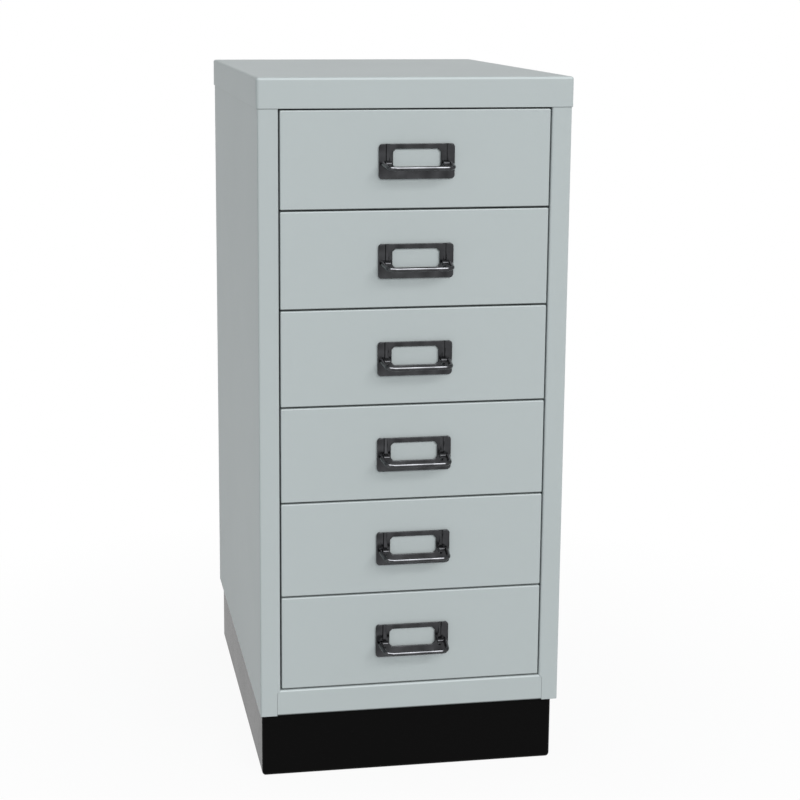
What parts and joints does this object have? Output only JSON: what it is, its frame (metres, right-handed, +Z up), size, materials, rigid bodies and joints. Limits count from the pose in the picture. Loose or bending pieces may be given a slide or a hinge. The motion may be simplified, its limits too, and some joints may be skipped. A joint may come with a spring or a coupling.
{
  "type": "drawer cabinet",
  "caption": "Small sheet-metal desk cabinet with sliding drawers, wire bow handles on card frames and a black plinth.",
  "frame": {"origin": "on the floor, in the middle of the object's box: X = 0 is the cabinet's middle plane, Y = 0 lies half way between the bows' fronts and the back of the cover", "axes": "+Z up, +X to the right seen from the front, the drawers open towards -Y"},
  "size_m": [0.279, 0.4271, 0.637],
  "materials": {
    "grey_paint": "pale grey-green stoved enamel, satin gloss",
    "black_paint": "gloss black enamel",
    "chrome_plate": "bright nickel-chrome plate",
    "zinc_steel": "bright zinc plate",
    "nylon": "natural nylon, unpainted"
  },
  "bodies": {
    "carcass": {"side_left": "grey_paint", "side_right": "grey_paint", "bottom_rail": "grey_paint", "top_rail": "grey_paint", "back_panel": "grey_paint", "base_panel": "grey_paint", "top_cover": "grey_paint", "plinth_front": "black_paint", "plinth_rear": "black_paint", "plinth_left": "black_paint", "plinth_right": "black_paint", "plinth_bolts": "zinc_steel", "plinth_nuts": "zinc_steel", "runner_left_1": "zinc_steel", "runner_left_2": "zinc_steel", "runner_left_3": "zinc_steel", "runner_left_4": "zinc_steel", "runner_left_5": "zinc_steel", "runner_left_6": "zinc_steel", "runner_right_1": "zinc_steel", "runner_right_2": "zinc_steel", "runner_right_3": "zinc_steel", "runner_right_4": "zinc_steel", "runner_right_5": "zinc_steel", "runner_right_6": "zinc_steel"},
    "drawer_1": {"drawer_1_tray": "grey_paint", "drawer_1_front": "grey_paint", "drawer_1_card_frame": "chrome_plate", "drawer_1_bow": "chrome_plate", "drawer_1_stops": "nylon"},
    "drawer_2": {"drawer_2_tray": "grey_paint", "drawer_2_front": "grey_paint", "drawer_2_card_frame": "chrome_plate", "drawer_2_bow": "chrome_plate", "drawer_2_stops": "nylon"},
    "drawer_3": {"drawer_3_tray": "grey_paint", "drawer_3_front": "grey_paint", "drawer_3_card_frame": "chrome_plate", "drawer_3_bow": "chrome_plate", "drawer_3_stops": "nylon"},
    "drawer_4": {"drawer_4_tray": "grey_paint", "drawer_4_front": "grey_paint", "drawer_4_card_frame": "chrome_plate", "drawer_4_bow": "chrome_plate", "drawer_4_stops": "nylon"},
    "drawer_5": {"drawer_5_tray": "grey_paint", "drawer_5_front": "grey_paint", "drawer_5_card_frame": "chrome_plate", "drawer_5_bow": "chrome_plate", "drawer_5_stops": "nylon"},
    "drawer_6": {"drawer_6_tray": "grey_paint", "drawer_6_front": "grey_paint", "drawer_6_card_frame": "chrome_plate", "drawer_6_bow": "chrome_plate", "drawer_6_stops": "nylon"}
  },
  "joints": [
    {"name": "drawer_1_slide", "type": "slide", "parent": "carcass", "child": "drawer_1", "axis": [0, -1, 0], "range_m": [0, 0.32]},
    {"name": "drawer_2_slide", "type": "slide", "parent": "carcass", "child": "drawer_2", "axis": [0, -1, 0], "range_m": [0, 0.32]},
    {"name": "drawer_3_slide", "type": "slide", "parent": "carcass", "child": "drawer_3", "axis": [0, -1, 0], "range_m": [0, 0.32]},
    {"name": "drawer_4_slide", "type": "slide", "parent": "carcass", "child": "drawer_4", "axis": [0, -1, 0], "range_m": [0, 0.32]},
    {"name": "drawer_5_slide", "type": "slide", "parent": "carcass", "child": "drawer_5", "axis": [0, -1, 0], "range_m": [0, 0.32]},
    {"name": "drawer_6_slide", "type": "slide", "parent": "carcass", "child": "drawer_6", "axis": [0, -1, 0], "range_m": [0, 0.32]}
  ]
}
